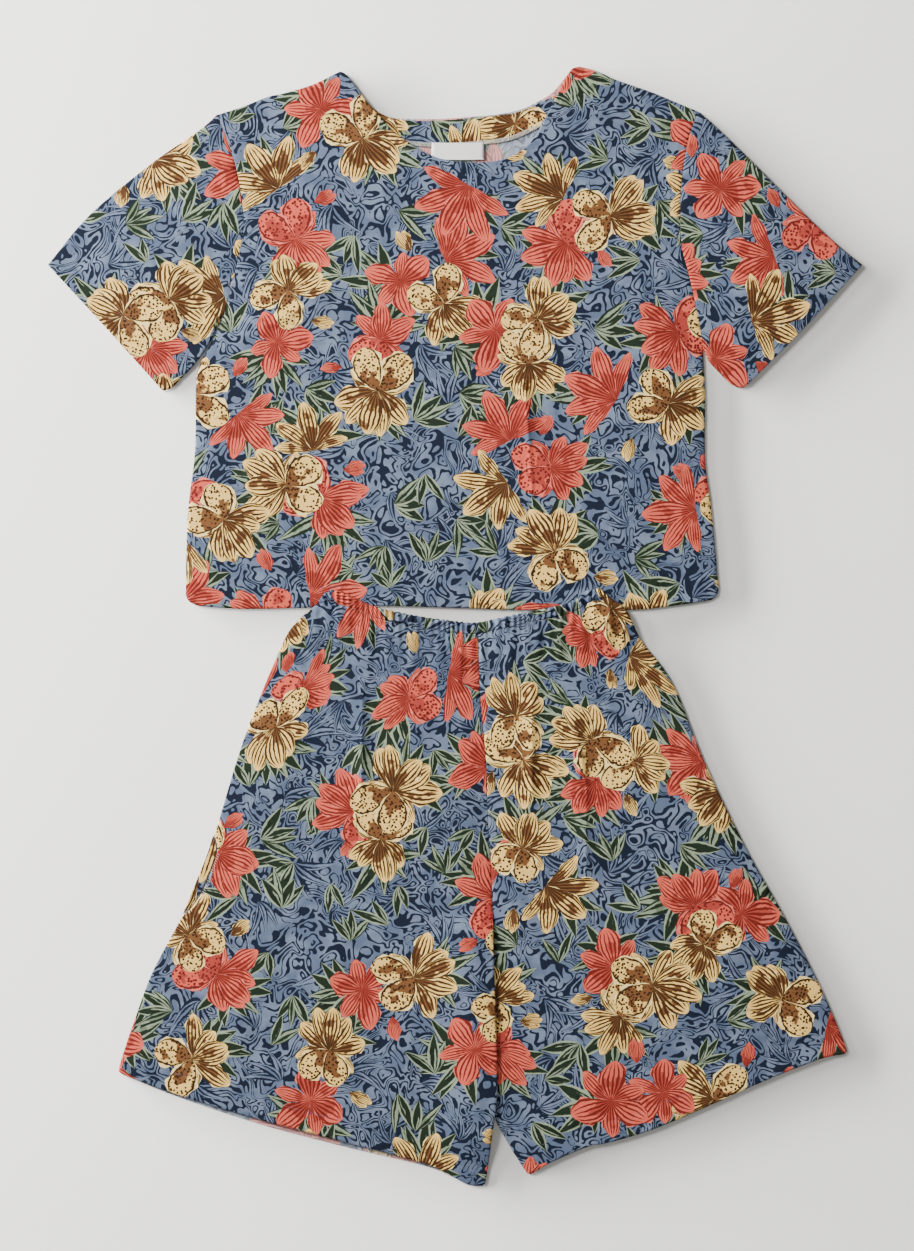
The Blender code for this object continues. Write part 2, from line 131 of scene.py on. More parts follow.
# Finer creases, shown only here: the same columns.
TOP_CREASES = [
    (69, 252, 78, 120, 1.1, 1.6), (60, 246, 64, 190, -0.5, 3.5), (-205, 292, -150, 318, 0.7, 4),
    (-212, 268, -160, 262, 0.5, 5), (218, 262, 165, 300, 0.7, 4), (222, 240, 170, 236, 0.5, 5),
    (-120, 60, -128, 190, 0.45, 6), (150, 50, 158, 170, 0.45, 6), (-60, 410, -20, 330, 0.35, 7),
    (100, 470, 150, 455, 0.5, 6), (-175, 500, -150, 440, 0.5, 6), (0, 60, -8, 170, 0.35, 6),
    (-215, 150, -180, 140, 0.5, 5), (225, 150, 190, 150, 0.4, 5),
]
SHORTS_CREASES = [
    (-92, -62, -94, -175, 1.2, 1.5), (-86, -80, -84, -150, -0.6, 4), (77, -58, 77, -170, 1.2, 1.5),
    (84, -70, 84, -160, -0.5, 4), (119, -90, 131, -160, 1.1, 1.5), (131, -160, 131, -250, 1.0, 1.6),
    (31, -98, 33, -195, 1.0, 1.6), (26, -8, 28, -66, 0.7, 3.0), (-150, -40, -158, -110, 0.4, 5),
    (-60, -190, -80, -330, 0.4, 7), (180, -60, 205, -150, 0.45, 5), (-10, -60, -14, -140, 0.4, 5),
    (-240, -330, -270, -440, 0.4, 7), (-60, -400, -70, -520, 0.4, 6), (90, -400, 100, -520, 0.4, 6),
    (220, -260, 240, -400, 0.45, 7), (330, -330, 350, -420, 0.4, 6), (60, -200, 70, -320, 0.35, 6),
]


def curve(points):
    """A smooth line through the points (Catmull-Rom), as a dense polyline."""
    table = np.array(points, dtype=float)
    before = np.vstack([2 * table[0] - table[1], table, 2 * table[-1] - table[-2]])
    t = np.linspace(0, 1, 10, endpoint=False)[:, None]
    parts = []
    for p0, p1, p2, p3 in zip(before, before[1:], before[2:], before[3:]):
        parts.append(0.5 * (2 * p1 + (p2 - p0) * t + (2 * p0 - 5 * p1 + 4 * p2 - p3) * t ** 2
                            + (3 * p1 - p0 - 3 * p2 + p3) * t ** 3))
    return np.vstack(parts + [table[-1:]])


def run_of(line):
    """Length run along a polyline up to each of its points."""
    return np.concatenate([[0], np.cumsum(np.hypot(*np.diff(line, axis=0).T))])


def at(line, fractions):
    """Points of a polyline at fractions of its length."""
    run = run_of(line)
    return columns([np.interp(fractions * run[-1], run, k) for k in line.T])


def even(points, step=EDGE_STEP):
    """The smooth line through the points, as points about one step apart."""
    line = curve(points)
    count = max(2, int(round(run_of(line)[-1] / step)))
    return at(line, np.linspace(0, 1, count + 1))


def ring_of(*lines):
    """One closed outline of lines that follow on each other, without doubled points."""
    points = np.vstack(lines)
    gap = np.hypot(*(points - np.roll(points, 1, axis=0)).T)
    return points[gap > 0.05]


def anticlockwise(ring):
    """Whether a ring of points runs anticlockwise."""
    x, y = ring.T
    return np.sum(x * np.roll(y, -1) - np.roll(x, -1) * y) > 0


def smooth(x, low, high):
    """0 below low, 1 above high, with a smooth step between."""
    t = np.clip((x - low) / (high - low), 0, 1)
    return t * t * (3 - 2 * t)


def folds(x, y, table):
    """Sum of the folds of a table: a bell across each ridge, fading towards both ends."""
    total = np.zeros_like(x)
    for x0, y0, x1, y1, height, half_width in table:
        run = np.hypot(x1 - x0, y1 - y0)
        ux, uy = (x1 - x0) / run, (y1 - y0) / run
        along = ((x - x0) * ux + (y - y0) * uy) / run
        across = (x - x0) * uy - (y - y0) * ux
        fade = smooth(along, -0.25, 0.3) * (1 - smooth(along, 0.7, 1.25))
        total += height * fade * bell(across, half_width)
    return total


def closed(ring):
    """A ring with its first point once more at the end."""
    return np.vstack([ring, ring[:1]])


def distance(points, line):
    """Shortest distance from each point to a polyline."""
    start, way = line[:-1], np.diff(line, axis=0)
    best = np.full(len(points), 1e9)
    for block in np.array_split(np.arange(len(points)), max(1, len(points) // 4000)):
        offset = points[block][:, None] - start[None]
        share = np.clip((offset * way).sum(2) / np.maximum((way ** 2).sum(1), 1e-9), 0, 1)
        best[block] = np.hypot(*np.moveaxis(offset - share[..., None] * way, 2, 0)).min(1)
    return best


def nearest(points, lines):
    """Shortest distance from each point to any of several polylines."""
    return np.min([distance(points, line) for line in lines], axis=0)


def bell(d, half_width):
    """1 at distance 0, falling off as a bell."""
    return np.exp(-(d / half_width) ** 2)


def inside(points, ring):
    """Which points lie inside a ring, by counting the edges to their right."""
    x, y = points[:, 0, None], points[:, 1, None]
    x0, y0 = ring.T
    x1, y1 = np.roll(ring, -1, axis=0).T
    crosses = (y0 > y) != (y1 > y)
    where = x0 + (y - y0) * (x1 - x0) / np.where(y1 == y0, 1e-9, y1 - y0)
    return (crosses & (x < where)).sum(1) % 2 == 1


def undulation(x, y, scale, seed):
    """Slow unevenness of relaxed cloth: crossed sines of about the given wavelength."""
    rng = np.random.default_rng(seed)
    total = np.zeros_like(x)
    waves = zip(rng.uniform(0, np.pi, 5), rng.uniform(0, 6.28, 5), rng.uniform(0.7, 1.5, 5))
    for angle, phase, stretch in waves:
        total += np.sin((x * np.cos(angle) + y * np.sin(angle)) * 2 * np.pi / (scale * stretch) + phase)
    return total / 5


# The waist's gathers squeeze the print towards this line, by up to this share.
GATHER_AXIS, GATHER_SHARE = 10.0, 0.4

# The print: columns of a petal are x, y, angle, length, half width, bend, ink.
GHOST, SHADE, LEAF, SAGE, CORAL, CORAL_ROUND, CREAM, CREAM_ROUND = range(1, 9)
PROFILES = {  # where the petal is widest, and how blunt its ends are
    GHOST: (0.85, 0.8), SHADE: (0.7, 0.7), LEAF: (0.85, 1.0), SAGE: (0.85, 1.0), CORAL: (1.35, 0.66),
    CORAL_ROUND: (1.45, 0.5), CREAM: (1.4, 0.6), CREAM_ROUND: (1.4, 0.5),
}


def petal_outline(petal):
    """Closed outline of a petal: half width sin(pi u^k)^p about a bent axis; flowers are ruffled."""
    x, y, angle, length, half, bend, ink = petal
    k, p = PROFILES[int(ink)]
    count = 11 if ink >= CORAL else 8
    u = 0.5 - 0.5 * np.cos(np.linspace(0, np.pi, count + 1))
    wide = np.sin(np.pi * u ** k) ** p
    ruffle = 0.13 * np.sin(15 * u + 5 * angle) if ink >= CORAL else 0 * u
    sides = np.concatenate([-wide * (1 + ruffle), (wide * (1 - ruffle))[-2:0:-1]])
    u = np.concatenate([u, u[-2:0:-1]])
    along, across = u * length, (bend * u ** 2 + sides) * half
    return columns([x + along * np.cos(angle) - across * np.sin(angle),
                    y + along * np.sin(angle) + across * np.cos(angle)])


def petals_round(where, turns, lengths, halves, bends, ink, rng):
    """A whorl of petals at a place, angle and size; lengths and half widths are shares of the size."""
    centre, angle, size = where
    return [(*centre, angle + turn + rng.uniform(-0.12, 0.12), size * length, size * half, bend, ink)
            for turn, length, half, bend in zip(turns, lengths, halves, bends)]


def lily(where, ink, rng):
    """Open flower: six pointed petals, the narrow ones under the broad ones."""
    layers = [(1.05, (0.42, 0.52), (0.10, 0.13), (-0.8, 0.8)), (0, (0.48, 0.58), (0.16, 0.2), (-0.6, 0.6))]
    rows = []
    for lean, *ranges in layers:
        looks = [rng.uniform(*ends, 3) for ends in ranges]
        rows += petals_round(where, np.arange(3) * 2.09 + lean, *looks, ink, rng)
    return rows


def trumpet(where, ink, rng):
    """Flower seen from the side: five petals that fan out from a narrow neck."""
    lengths = np.array([0.62, 0.62, 0.74, 0.74, 0.8]) * rng.uniform(0.92, 1.08, 5)
    return petals_round(where, [-1.15, 1.1, -0.6, 0.6, 0.0], lengths, [0.11, 0.11, 0.15, 0.15, 0.17],
                        [-1.6, 1.6, -0.9, 0.9, 0.2], ink, rng)


def iris(where, inks, rng):
    """Two round speckled falls below, and five ruffled petals above them."""
    pointed, rounded = inks
    standards = petals_round(where, [-1.0, 1.0, -0.5, 0.5, 0.0], rng.uniform(0.46, 0.62, 5),
                             rng.uniform(0.12, 0.16, 5), rng.uniform(-0.9, 0.9, 5), pointed, rng)
    side = petals_round(where, [1.75, -1.75], rng.uniform(0.38, 0.46, 2), [0.09, 0.09], [1.4, -1.4],
                        pointed, rng)
    falls = petals_round(where, [np.pi - 0.7, np.pi + 0.7], rng.uniform(0.48, 0.58, 2),
                         rng.uniform(0.19, 0.22, 2), [0.2, -0.2], rounded, rng)
    return side + standards + falls


def bud(where, ink, rng):
    """Closed bud: three narrow petals side by side."""
    return petals_round(where, [-0.28, 0.28, 0], [0.5, 0.5, 0.56], [0.11, 0.11, 0.1], [0.5, -0.5, 0],
                        ink, rng)


def leaf_fan(where, count, rng):
    """Lance-shaped leaves that fan out from one place, dark and sage ones mixed."""
    rows = []
    for turn in np.linspace(-0.28, 0.28, count) * count * 0.62:
        ink = LEAF if rng.random() < 0.66 else SAGE
        looks = [[rng.uniform(*ends)] for ends in ((0.75, 1.1), (0.13, 0.17), (-0.9, 0.9))]
        rows += petals_round(where, [turn], *looks, ink, rng)
    return rows


def ghost_spray(where, rng):
    """Tone-on-tone spray: curved petals in the ground's blue beside a navy stroke."""
    sweep = rng.choice([-1, 1])
    turns = sweep * np.array([-0.6, 0.55, 0.0]) * rng.uniform(0.7, 1.2)
    shade = petals_round(where, [rng.uniform(-1.4, 1.4)], [rng.uniform(0.45, 0.75)],
                         [rng.uniform(0.09, 0.15)], [sweep * rng.uniform(1, 3)], SHADE, rng)
    blades = petals_round(where, turns, rng.uniform(0.6, 1.0, 3), rng.uniform(0.11, 0.15, 3),
                          sweep * rng.uniform(3.0, 5.5, 3), GHOST, rng)
    return shade + blades


def scattered(low, high, apart, rng):
    """Random places in a box, no two nearer than a distance (dart throwing)."""
    spots = np.empty((0, 2))
    count = int(np.prod((high - low) / apart) * 6) + 60
    for spot in rng.uniform(low, high, (count, 2)):
        if not len(spots) or np.hypot(*(spots - spot).T).min() > apart:
            spots = np.vstack([spots, spot])
    return spots


def as_printed(spots, power=1):
    """Where places of the laid cloth were before the waist was gathered: wider near it."""
    x, y = spots.T
    wider = (1 + GATHER_SHARE * smooth(y, -140, 20)) ** power
    return columns([GATHER_AXIS + (x - GATHER_AXIS) * wider, y])


def as_laid(spots):
    """Where places of the printed cloth lie once it is gathered."""
    return as_printed(spots, -1)


def flower(spot, angle, size, kind, rng):
    """One flower head: coral lily, iris or trumpet, cream trumpet or iris."""
    maker, scale, ink = [(lily, 1, CORAL), (iris, 1, (CORAL, CORAL_ROUND)), (trumpet, 0.95, CORAL),
                         (trumpet, 0.9, CREAM), (iris, 1.02, (CREAM, CREAM_ROUND))][kind]
    return maker((spot, angle, size * scale), ink, rng)


def cluster(spot, rng):
    """Two or three flower heads, coral beside cream, with leaves and a bud."""
    count = int(rng.integers(2, 4))
    turn = rng.uniform(0, 6.28)
    leaves, heads = [], []
    for i in range(count):
        side = turn + i * 6.28 / count + rng.uniform(-0.3, 0.3)
        size = rng.uniform(66, 82)
        away = np.array([np.cos(side), np.sin(side)])
        centre = spot + away * rng.uniform(23, 29)
        for lean in (-1.1, -0.4, 0.4, 1.1):
            fan = (centre + 0.2 * size * away, side + lean, rng.uniform(38, 52))
            leaves += leaf_fan(fan, int(rng.integers(1, 4)), rng)
        kind = int(rng.choice([0, 1, 1, 2] if i == 0 or (i == 1 and turn < 1.6) else [3, 4, 4, 4]))
        heads += flower(centre, side + rng.uniform(-0.6, 0.6), size, kind, rng)
    side = turn + np.pi / count
    away = np.array([np.cos(side), np.sin(side)])
    where = (spot + 34 * away, side, rng.uniform(38, 46))
    buds = bud(where, CORAL if rng.random() < 0.5 else CREAM, rng)
    return leaves, buds + heads


def printed_design(cloth, seed, sprays=True):
    """All petals over the box round some cloth, in the order that they are printed."""
    low, high = cloth.min(0), cloth.max(0)
    rng = np.random.default_rng(seed)
    ghosts, leaves, heads = [], [], []
    for spot in scattered(low - 10, high + 10, 46.0, rng) if sprays else []:
        ghosts += ghost_spray((spot, rng.uniform(0, 6.28), rng.uniform(30, 44)), rng)
    for spot in scattered(low - 50, high + 50, 100, rng):
        more_leaves, more_heads = cluster(spot, rng)
        leaves += more_leaves
        heads += more_heads
    taken = np.array([row[:2] for row in heads])
    for spot in scattered(low - 20, high + 20, 40, rng):
        if np.hypot(*(taken - spot).T).min() > 38:
            where = (spot, rng.uniform(0, 6.28), rng.uniform(30, 42))
            leaves += leaf_fan(where, int(rng.integers(2, 5)), rng)
    return np.array(ghosts + leaves + heads)


def cut_sheet(outline, design, inner, laid=np.array, face_down=False):
    """One constrained triangulation of a piece's outline, its petals and its inner points.

    Returns plan points, triangles, the petal on top in each triangle (0 is the ground) and the design.
    """
    ring = outline if anticlockwise(outline) else outline[::-1]
    low, high = ring.min(0) - 2, ring.max(0) + 2
    near, shapes = [], [ring]
    for i, row in enumerate(design):
        shape = laid(petal_outline(row))
        if np.all(shape.max(0) > low) and np.all(shape.min(0) < high):
            near.append(i)
            shapes.append(shape)
    points = np.vstack(shapes + [inner])
    starts = np.cumsum([0] + [len(shape) for shape in shapes])
    faces = [list(range(*ends)) for ends in zip(starts, starts[1:])]
    verts, _, tris, _, _, owners = delaunay_2d_cdt([Vector(p) for p in points], [], faces, 1, 0.02, True)
    plan = np.array([v[:] for v in verts])
    kept = [(tri, max(own)) for tri, own in zip(tris, owners) if 0 in own and len(tri) == 3]
    corners, top = (np.array(part) for part in zip(*kept))
    petals = np.where(top > 0, np.array([0] + near)[top] + 1, 0)
    used, corners = np.unique(corners, return_inverse=True)
    return plan[used], corners.reshape(-1, 3)[:, ::-1 if face_down else 1], petals, design


def joined(sheets):
    """Several cut sheets as one: plan, triangles, petals and design, numbered on."""
    parts, count, shift = [], 0, 0
    for plan, triangles, petals, design in sheets:
        parts.append((plan, triangles + count, np.where(petals > 0, petals + shift, 0), design))
        count, shift = count + len(plan), shift + len(design)
    return [np.concatenate(part) for part in zip(*parts)]


def grid_points(low, high, step, rng):
    """A triangular grid over a box, its points nudged out of line with the edges."""
    xs = np.arange(low[0], high[0], step)
    ys = np.arange(low[1], high[1], step * 0.87)
    x, y = np.meshgrid(xs, ys)
    x = x + (np.arange(len(ys))[:, None] % 2) * step / 2
    spots = columns([x.ravel(), y.ravel()])
    return spots + rng.uniform(-0.06, 0.06, spots.shape) * step


def along_creases(table):
    """Five rows of points along each crease of a table, close enough to show its shape."""
    rows = []
    for x0, y0, x1, y1, _, half_width in table:
        run = np.hypot(x1 - x0, y1 - y0)
        ux, uy = (x1 - x0) / run, (y1 - y0) / run
        t = np.arange(-8, run + 8, 3.5)
        for side in (-1.7, -0.85, 0, 0.85, 1.7):
            across = side * half_width
            rows.append(columns([x0 + ux * t - uy * across, y0 + uy * t + ux * across]))
    return rows


def inner_points(outline, step, seed, dense=None, creases=()):
    """Points inside an outline: a grid, and rows along creases and near the edge that turns down."""
    rng = np.random.default_rng(seed)
    ring = closed(outline)
    spots = grid_points(outline.min(0), outline.max(0), step, rng)
    if dense:
        low, high, fine = dense
        keep = ~np.all((spots > low) & (spots < high), axis=1)
        spots = np.vstack([spots[keep], grid_points(low, high, fine, rng)])
    spots = spots[inside(spots, outline)]
    spots = spots[distance(spots, ring) > 0.45 * (dense[2] if dense else step)]
    way = np.roll(outline, -1, axis=0) - np.roll(outline, 1, axis=0)
    way /= np.maximum(np.hypot(*way.T), 1e-9)[:, None]
    across = columns([-way[:, 1], way[:, 0]]) * (1 if anticlockwise(outline) else -1)
    creased = np.vstack(along_creases(creases) or [np.empty((0, 2))])
    creased = creased[distance(creased, ring) > 3.5]
    rows = np.vstack([outline + across * depth for depth in (0.5, 1.3, 2.4)] + [creased])
    rows = rows[inside(rows, outline)]
    return np.vstack([spots, rows])


# The inks of the print, by number: the order of the materials on every printed sheet.
INKS = ["ground", "ghost", "shade", "leaf", "sage", "coral", "coral_round", "cream", "cream_round"]
# Short names for kinds of nodes; a maths operation goes by its own name in capitals.
KINDS = {"mix": "ShaderNodeMix", "ramp": "ShaderNodeMapRange", "noise": "ShaderNodeTexNoise",
         "cells": "ShaderNodeTexVoronoi"}


def rgb(text):
    """Linear colour of an sRGB hex value."""
    c = np.array(list(bytes.fromhex(text))) / 255
    return (*np.where(c <= 0.04045, c / 12.92, ((c + 0.055) / 1.055) ** 2.4), 1.0)


def faded(text, share):
    """Hex colour mixed towards the pale wrong side of the cloth."""
    own, pale = (np.array(list(bytes.fromhex(value))) for value in (text, "D6D8DC"))
    return bytes(np.round(own + (pale - own) * share).astype(np.uint8)).hex()


def per(size):
    """Scale of a pattern whose marks are about this many millimetres apart."""
    return 1 / (size * MM)


def feed(made, inputs):
    """Give inputs of a node their values or links: a list from the first socket on, or by socket."""
    for key, value in inputs.items() if isinstance(inputs, dict) else enumerate(inputs):
        if isinstance(value, bpy.types.NodeSocket):
            made.id_data.links.new(value, made.inputs[key])
        else:
            made.inputs[key].default_value = value


def node(tree, kind, inputs=(), out=0, **settings):
    """Add a node with its settings and links, and give back one of its outputs."""
    made = tree.nodes.new(KINDS.get(kind, "ShaderNodeMath" if kind.isupper() else kind))
    if kind.isupper():
        made.operation = kind
    if kind == "mix":
        made.data_type = "RGBA"
    for name, value in settings.items():
        setattr(made, name, value)
    feed(made, inputs)
    return made.outputs[out]


def placed(name, data):
    """A new object in the scene."""
    made = bpy.data.objects.new(name, data)
    bpy.context.scene.collection.objects.link(made)
    return made


def new_material(name):
    """An empty node material, what adds a node to it, and its Object coordinates."""
    made = bpy.data.materials.new(name)
    made.use_nodes = True
    add = partial(node, made.node_tree)
    return made, add, add("ShaderNodeTexCoord", out="Object")


def cloth_finish(made, add, place, colour, layers, roughness=0.82):
    """Plain-woven viscose: matt with a slight sheen; weave and slubs stand out in the bump.

    The colour has layers over it, each a share and a colour of its own.
    """
    for share, over in layers:
        colour = add("mix", {0: share, 6: colour, 7: over}, 2)
    thread = 0.9  # twice the real spacing in millimetres, so that it shows in the render
    wave = {"Vector": place, "Scale": per(thread) / 20, "Distortion": 1.2, "Detail": 1, "Detail Scale": 3}
    weave = add("MULTIPLY", [add("ShaderNodeTexWave", wave, "Fac", bands_direction=way) for way in "XY"])
    slub = add("noise", {"Vector": place, "Scale": per(6.0), "Detail": 3})
    height = add("MULTIPLY_ADD", [weave, 0.6, slub])
    bump = add("ShaderNodeBump", {"Height": height, "Strength": 0.25, "Distance": 0.25 * MM})
    feed(made.node_tree.nodes["Principled BSDF"], {
        "Base Color": colour, "Normal": bump, "Roughness": roughness, "Sheen Weight": 0.04,
        "Sheen Roughness": 0.5, "Specular IOR Level": 0.15})


def ground_material(name, fade):
    """Screen-printed viscose ground: cloudy slate under navy curls that swell, taper and break off.

    The curls are contour lines of a smooth noise; a second noise makes them thick and thin. What it
    gives the eye is a busy blue that stays behind the flowers.
    """
    made, add, place = new_material(name)
    slate, pale, navy = (rgb(faded(c, fade)) for c in ("57637A", "707C90", "121A2B"))
    cloud = add("noise", {"Vector": place, "Scale": per(22), "Detail": 2})
    share = add("ramp", [cloud, 0.42, 0.62])
    swirl = add("noise", {"Vector": place, "Scale": per(30), "Detail": 1, "Distortion": 1.4})
    phase = add("MULTIPLY", [swirl, 58.0])
    rings = add("SINE", [phase])
    thick = add("noise", {"Vector": place, "Scale": per(10), "Detail": 1, "Distortion": 0.6})
    drawn = add("MULTIPLY_ADD", [thick, 3.2, rings])
    ink = add("ramp", [drawn, 1.74, 1.92])
    cloth_finish(made, add, place, slate, [(share, pale), (ink, navy)])
    return made


def petal_material(name, ink, colours, stripes, spared, speckles, edge_at, fade):
    """Screen-printed petal on viscose: a darker heart, veins or speckles and a rim give it a drawn look.

    The attribute petal holds u along and v across the petal and its bend; the distance from the
    bent axis, over the same half width as the outline, is 0 on the axis and 1 on the edge.
    """
    made, add, place = new_material(name)
    base, deep, dark, edge = (rgb(faded(c, fade)) for c in colours)
    k, p = PROFILES[ink]
    own = add("ShaderNodeAttribute", out="Vector", attribute_name="petal")
    parts = add("ShaderNodeSeparateXYZ", [own]).node.outputs
    u = add("MAXIMUM", [parts[0], 0.0015])
    squared = add("MULTIPLY", [u, u])
    axis = add("MULTIPLY", [squared, parts[2]])
    across = add("SUBTRACT", [parts[1], axis])
    bowed = add("POWER", [u, k])
    turned = add("MULTIPLY", [bowed, np.pi])
    sine = add("SINE", [turned])
    above_zero = add("MAXIMUM", [sine, 0.004])
    wide = add("POWER", [above_zero, p])
    side = add("DIVIDE", [across, wide])
    off_axis = add("ABSOLUTE", [side])
    noise = add("noise", {"Vector": place, "Scale": per(6.7), "Detail": 2})
    blot = add("noise", {"Vector": place, "Scale": per(14), "Detail": 2})
    inward = add("MULTIPLY_ADD", [off_axis, 0.45, u])
    heart = add("MULTIPLY_ADD", [blot, -2.4, inward])
    layers = [(add("ramp", [heart, -0.52, -0.64]), deep)]
    if stripes:
        wave = add("MULTIPLY_ADD", [side, stripes, noise])
        turned = add("MULTIPLY", [wave, np.pi])
        vein = add("COSINE", [turned])
        thick = add("MULTIPLY_ADD", [blot, 2.2, vein])
        towards_heart = add("MULTIPLY_ADD", [u, -1.3, thick])
        drawn = add("ramp", [towards_heart, spared - 0.6, spared - 0.35])
        ends = add("ramp", [u, 0.95, 0.85])
        layers.append((add("MULTIPLY", [drawn, ends]), dark))
    if speckles:
        cells = add("cells", {"Vector": place, "Scale": per(speckles)})
        dots = add("ramp", [cells, 0.44, 0.36])
        within = add("ramp", [off_axis, 0.86, 0.8])
        layers.append((add("MULTIPLY", [dots, within]), dark))
    if edge_at < 1:
        ragged = add("MULTIPLY_ADD", [noise, 0.34, off_axis])
        for start, over in ((edge_at + 0.03, dark), (edge_at + 0.17, edge)):
            layers.append((add("ramp", [ragged, start, start + 0.05]), over))
    cloth_finish(made, add, place, base, layers)
    return made


def printed_materials(side, fade):
    """The inks of the print, in the order of INKS, for one side of the cloth."""
    # Columns: ink; base, heart, vein and rim colours; veins across the petal, how much of the petal
    # they spare, spacing of the speckles in millimetres, and where the drawn rim starts.
    looks = [
        (GHOST, ("6C788E", "57637A", "121A2B", "121A2B"), 2.2, 1.3, 0, 0.88),
        (SHADE, ("121A2B", "101826", "0E1522", "57637A"), 0, 0, 0, 1.0),
        (LEAF, ("1C281A", "162014", "869279", "929E84"), 2.0, 1.85, 0, 0.76),
        (SAGE, ("88947C", "68755D", "1A2618", "1C281A"), 2.0, 1.0, 0, 0.86),
        (CORAL, ("D9604E", "AE4336", "6E1E16", "E27464"), 5.6, 1.0, 0, 0.95),
        (CORAL_ROUND, ("D55A48", "A63E34", "641A14", "E27464"), 0, 0, 3.3, 0.86),
        (CREAM, ("F6CA74", "744B29", "42270F", "FCDE92"), 5.2, 0.76, 0, 0.92),
        (CREAM_ROUND, ("F4C872", "744B29", "321C0A", "FCDE92"), 0, 0, 3.0, 0.84),
    ]
    return [ground_material(f"viscose_ground_{side}", fade)] + [
        petal_material(f"viscose_{INKS[ink]}_{side}", ink, *look, fade) for ink, *look in looks]


def plain_material(name, colour, roughness):
    """A plain cloth or thread with the weave of the set: even in colour, a little cloudy."""
    made, add, place = new_material(name)
    cloud = add("noise", {"Vector": place, "Scale": per(11)})
    cloth_finish(made, add, place, rgb(colour), [(cloud, rgb(faded(colour, 0.12)))], roughness)
    return made


RIGHT_SIDE = printed_materials("right", 0.0)
WRONG_SIDE = printed_materials("wrong", 0.5)
# Threads: the slate one sinks into the print, the pale one stands out on edges that are neatened.
THREAD = plain_material("sewing_thread", "4C5A74", 0.6)
SERGING = plain_material("serging_thread", "C9C6BC", 0.7)
# Woven satin, smoother than the cloth: a clean white patch inside the neck.
SATIN = plain_material("satin_label", "EDEBE6", 0.45)


def sheet_object(name, points, triangles, petals, design, plan, inks=RIGHT_SIDE + WRONG_SIDE,
                 wall=CLOTH):
    """A sheet as one mesh: material by ink, petal coordinates on corners, and its wall below it."""
    mesh = bpy.data.meshes.new(name)
    mesh.vertices.add(len(points))
    mesh.vertices.foreach_set("co", (points * MM).astype(np.float32).ravel())
    mesh.loops.add(triangles.size)
    mesh.loops.foreach_set("vertex_index", triangles.ravel().astype(np.int32))
    mesh.polygons.add(len(triangles))
    mesh.polygons.foreach_set("loop_start", np.arange(0, triangles.size, 3, dtype=np.int32))
    row = design[np.maximum(petals - 1, 0)][:, None]
    ink = np.where(petals > 0, row[:, 0, 6], 0).astype(np.int32)
    mesh.polygons.foreach_set("material_index", ink)
    mesh.update(calc_edges=True)
    offset = plan[triangles] - row[..., :2]
    cos, sin = np.cos(row[..., 2]), np.sin(row[..., 2])
    u = (offset[..., 0] * cos + offset[..., 1] * sin) / row[..., 3]
    v = (offset[..., 1] * cos - offset[..., 0] * sin) / row[..., 4]
    own = np.dstack([u, v, np.broadcast_to(row[..., 5], u.shape)])
    attribute = mesh.attributes.new("petal", "FLOAT_VECTOR", "CORNER")
    attribute.data.foreach_set("vector", own.astype(np.float32).ravel())
    mesh.shade_smooth()
    for material in inks:
        mesh.materials.append(material)
    piece = placed(name + "_cloth", mesh)
    solid = piece.modifiers.new("cloth", "SOLIDIFY")
    solid.thickness, solid.offset, solid.use_even_offset = wall * MM, -1.0, False
    solid.material_offset = len(inks) // 2
    return piece


def declare(piece, node_name):
    """Ride and replacement of one sheet: it hangs on the root body, and the CAD part that it replaces is
    hidden.
    """
    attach(piece, "root")
    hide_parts(node_name)


def cut_piece(name, outline, height, seed, grid, rests_on, face_down=False, dense=None, gathered=False,
              creases=(), design=None, flat=None, slot="print", **look):
    """Cut one panel, give it its heights, hang it on the root body and hide the CAD part that it replaces.
    """
    laid, printed = (as_laid, as_printed) if gathered else (np.array, np.array)
    if design is None:
        design = printed_design(printed(outline), seed, not face_down)
    inner = inner_points(outline, grid, seed, dense, creases)
    plan, triangles, petals, design = cut_sheet(outline, design, inner, laid, face_down)
    points = columns([plan, height(plan)])
    piece = sheet_object(name, points, triangles, petals, design, printed(plan), **look)
    declare(piece, name)


def level(height):
    """A face at one height."""
    return lambda plan: np.full(len(plan), height)


def turned_edge(d, drop, radius):
    """How far the cloth drops towards an edge at distance 0: a quarter round."""
    t = np.clip(1 - d / radius, 0, 1)
    return drop * (1 - np.sqrt(np.maximum(1 - t * t, 0)))


def inset(line, depth, side=1):
    """A line moved sideways by a depth, to its left for side 1, and a little shorter."""
    way = np.gradient(line, axis=0)
    way /= np.hypot(*way.T)[:, None]
    moved = line + side * depth * columns([-way[:, 1], way[:, 0]])
    run = run_of(line)
    return moved[(run > 3) & (run < run[-1] - 3)]


